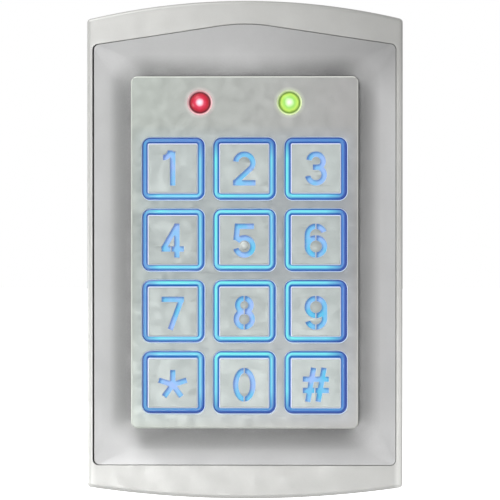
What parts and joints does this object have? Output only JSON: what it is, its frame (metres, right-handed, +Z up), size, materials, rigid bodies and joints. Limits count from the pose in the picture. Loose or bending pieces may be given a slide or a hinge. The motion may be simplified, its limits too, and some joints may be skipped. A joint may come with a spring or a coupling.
{
  "type": "keypad access reader",
  "caption": "Wall-mounted keypad access reader: cast zinc housing with a dished bezel, lit square push keys, two status lamps and a steel wall plate.",
  "frame": {"origin": "centre of the wall plate's back face, on the wall, level with the middle of the housing", "axes": "+Z up the wall, +X to the right of someone facing the keys, +Y into the wall; the keys face -Y"},
  "size_m": [0.076, 0.022, 0.12],
  "materials": {
    "frame_zinc": "satin silver lacquer on a zinc casting",
    "bezel_zinc": "satin silver lacquer on a zinc casting, slightly darker",
    "panel_steel": "satin, fine blasted grain",
    "cap_steel": "satin, bright bevelled edges",
    "light_guide": "translucent, lit blue from behind",
    "silicone": "milky translucent silicone",
    "carbon": "matt conductive carbon",
    "board_green": "green solder mask",
    "led_blue": "small surface lamps, lit blue",
    "led_red": "clear red epoxy, lit",
    "led_green": "clear green epoxy, lit",
    "chip_black": "matt moulding compound",
    "relay_black": "satin plastic case",
    "buzzer_black": "matt plastic case",
    "terminal_green": "satin green plastic",
    "coil_copper": "lacquered copper wire",
    "can_aluminium": "bright can",
    "cell_ceramic": "resin face on a ceramic disc",
    "cover_black": "fine textured plastic",
    "gasket_rubber": "matt rubber",
    "grommet_rubber": "satin rubber",
    "plate_steel": "zinc plated sheet steel",
    "screw_steel": "bright stainless steel"
  },
  "bodies": {
    "root": {"back_plate": "plate_steel", "outer_frame": "frame_zinc", "bezel": "bezel_zinc", "key_panel": "panel_steel", "key_mat": "silicone", "circuit_board": "board_green", "backlight_leds": "led_blue", "status_led_red": "led_red", "status_led_green": "led_green", "controller_chip": "chip_black", "relay": "relay_black", "buzzer": "buzzer_black", "terminal_header": "terminal_green", "antenna_coil": "coil_copper", "capacitors": "can_aluminium", "light_sensor": "cell_ceramic", "rear_cover": "cover_black", "seal_gasket": "gasket_rubber", "cable_grommet": "grommet_rubber", "security_screw": "screw_steel", "bezel_screws": "screw_steel", "panel_screws": "screw_steel", "board_screws": "screw_steel", "cover_screws": "screw_steel"},
    "key_1": {"keycap_1": "cap_steel", "light_frame_1": "light_guide", "contact_pill_1": "carbon"},
    "key_2": {"keycap_2": "cap_steel", "light_frame_2": "light_guide", "contact_pill_2": "carbon"},
    "key_3": {"keycap_3": "cap_steel", "light_frame_3": "light_guide", "contact_pill_3": "carbon"},
    "key_4": {"keycap_4": "cap_steel", "light_frame_4": "light_guide", "contact_pill_4": "carbon"},
    "key_5": {"keycap_5": "cap_steel", "light_frame_5": "light_guide", "contact_pill_5": "carbon"},
    "key_6": {"keycap_6": "cap_steel", "light_frame_6": "light_guide", "contact_pill_6": "carbon"},
    "key_7": {"keycap_7": "cap_steel", "light_frame_7": "light_guide", "contact_pill_7": "carbon"},
    "key_8": {"keycap_8": "cap_steel", "light_frame_8": "light_guide", "contact_pill_8": "carbon"},
    "key_9": {"keycap_9": "cap_steel", "light_frame_9": "light_guide", "contact_pill_9": "carbon"},
    "key_star": {"keycap_star": "cap_steel", "light_frame_star": "light_guide", "contact_pill_star": "carbon"},
    "key_0": {"keycap_0": "cap_steel", "light_frame_0": "light_guide", "contact_pill_0": "carbon"},
    "key_hash": {"keycap_hash": "cap_steel", "light_frame_hash": "light_guide", "contact_pill_hash": "carbon"}
  },
  "joints": [
    {"name": "key_1_press", "type": "slide", "parent": "root", "child": "key_1", "axis": [0, 1, 0], "range_m": [0, 0.0009], "stiffness_N_per_m": 1500, "springref_m": -0.0005, "deforming": ["key_mat"]},
    {"name": "key_2_press", "type": "slide", "parent": "root", "child": "key_2", "axis": [0, 1, 0], "range_m": [0, 0.0009], "stiffness_N_per_m": 1500, "springref_m": -0.0005, "deforming": ["key_mat"]},
    {"name": "key_3_press", "type": "slide", "parent": "root", "child": "key_3", "axis": [0, 1, 0], "range_m": [0, 0.0009], "stiffness_N_per_m": 1500, "springref_m": -0.0005, "deforming": ["key_mat"]},
    {"name": "key_4_press", "type": "slide", "parent": "root", "child": "key_4", "axis": [0, 1, 0], "range_m": [0, 0.0009], "stiffness_N_per_m": 1500, "springref_m": -0.0005, "deforming": ["key_mat"]},
    {"name": "key_5_press", "type": "slide", "parent": "root", "child": "key_5", "axis": [0, 1, 0], "range_m": [0, 0.0009], "stiffness_N_per_m": 1500, "springref_m": -0.0005, "deforming": ["key_mat"]},
    {"name": "key_6_press", "type": "slide", "parent": "root", "child": "key_6", "axis": [0, 1, 0], "range_m": [0, 0.0009], "stiffness_N_per_m": 1500, "springref_m": -0.0005, "deforming": ["key_mat"]},
    {"name": "key_7_press", "type": "slide", "parent": "root", "child": "key_7", "axis": [0, 1, 0], "range_m": [0, 0.0009], "stiffness_N_per_m": 1500, "springref_m": -0.0005, "deforming": ["key_mat"]},
    {"name": "key_8_press", "type": "slide", "parent": "root", "child": "key_8", "axis": [0, 1, 0], "range_m": [0, 0.0009], "stiffness_N_per_m": 1500, "springref_m": -0.0005, "deforming": ["key_mat"]},
    {"name": "key_9_press", "type": "slide", "parent": "root", "child": "key_9", "axis": [0, 1, 0], "range_m": [0, 0.0009], "stiffness_N_per_m": 1500, "springref_m": -0.0005, "deforming": ["key_mat"]},
    {"name": "key_star_press", "type": "slide", "parent": "root", "child": "key_star", "axis": [0, 1, 0], "range_m": [0, 0.0009], "stiffness_N_per_m": 1500, "springref_m": -0.0005, "deforming": ["key_mat"]},
    {"name": "key_0_press", "type": "slide", "parent": "root", "child": "key_0", "axis": [0, 1, 0], "range_m": [0, 0.0009], "stiffness_N_per_m": 1500, "springref_m": -0.0005, "deforming": ["key_mat"]},
    {"name": "key_hash_press", "type": "slide", "parent": "root", "child": "key_hash", "axis": [0, 1, 0], "range_m": [0, 0.0009], "stiffness_N_per_m": 1500, "springref_m": -0.0005, "deforming": ["key_mat"]}
  ]
}
